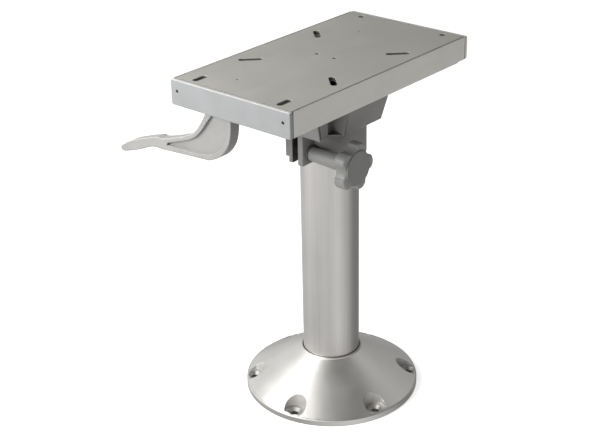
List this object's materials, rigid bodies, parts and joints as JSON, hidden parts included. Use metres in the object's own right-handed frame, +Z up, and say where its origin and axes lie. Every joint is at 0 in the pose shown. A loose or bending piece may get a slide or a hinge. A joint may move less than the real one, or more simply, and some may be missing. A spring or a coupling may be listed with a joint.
{
  "type": "boat seat pedestal",
  "caption": "Boat seat pedestal with a round bolt-down base, a tube column, a swivelling head with a clamp knob, and a sliding seat plate with a latch lever.",
  "frame": {"origin": "on the column axis at the base's underside, where the base meets the deck", "axes": "+Z up along the column; +X along the slide towards the rear end of the seat plate; +Y to the side that the latch lever reaches out to"},
  "size_m": [0.3346, 0.3182, 0.4525],
  "materials": {
    "base_metal": "satin, turned",
    "tube_metal": "satin anodised",
    "head_metal": "grey powder coat over a casting",
    "plate_metal": "matt anodised",
    "cap_plastic": "fine texture",
    "lever_plastic": "fine texture",
    "knob_plastic": "fine texture",
    "bearing_plastic": "satin",
    "steel": "zinc plated",
    "rail_steel": "zinc plated",
    "dark_screw": "black oxide",
    "brass": "satin"
  },
  "bodies": {
    "column": {"base_flange": "base_metal", "column_tube": "tube_metal", "tube_top_plug": "tube_metal", "king_bolt": "steel", "thrust_washer": "bearing_plastic", "king_washer": "steel", "king_nut": "steel"},
    "head": {"swivel_head": "head_metal", "swivel_bushing": "bearing_plastic", "clamp_bolt": "steel", "clamp_washer": "steel", "slide_rail": "rail_steel", "rail_screws": "steel", "left_glide": "bearing_plastic", "right_glide": "bearing_plastic"},
    "knob": {"clamp_knob": "knob_plastic", "knob_insert": "brass"},
    "plate": {"top_plate": "plate_metal", "front_end_cap": "cap_plastic", "rear_end_cap": "cap_plastic", "end_cap_screws": "dark_screw", "stop_block": "bearing_plastic", "stop_block_screws": "dark_screw", "front_bearing": "bearing_plastic", "rear_bearing": "bearing_plastic", "bearing_pins": "steel", "return_spring": "steel"},
    "lever": {"lever": "lever_plastic", "lever_shaft": "steel", "lever_screw": "steel", "shaft_clip": "steel", "latch_pawl": "rail_steel", "pawl_pin": "steel"}
  },
  "joints": [
    {"name": "swivel", "type": "hinge", "parent": "column", "child": "head", "pos_m": [0, 0, 0.39], "axis": [0, 0, 1], "continuous": true},
    {"name": "slide", "type": "slide", "parent": "head", "child": "plate", "axis": [1, 0, 0], "range_m": [-0.048, 0.048]},
    {"name": "lever_lift", "type": "hinge", "parent": "plate", "child": "lever", "pos_m": [0, 0.034, 0.4403], "axis": [1, 0, 0], "range_deg": [0, 12], "stiffness_Nm_per_rad": 1.5, "springref_deg": -20.05, "deforming": ["return_spring"]},
    {"name": "knob_turn", "type": "hinge", "parent": "head", "child": "knob", "pos_m": [-0.0495, -0.06, 0.3453], "axis": [0, -1, 0], "range_deg": [0, 360]}
  ]
}
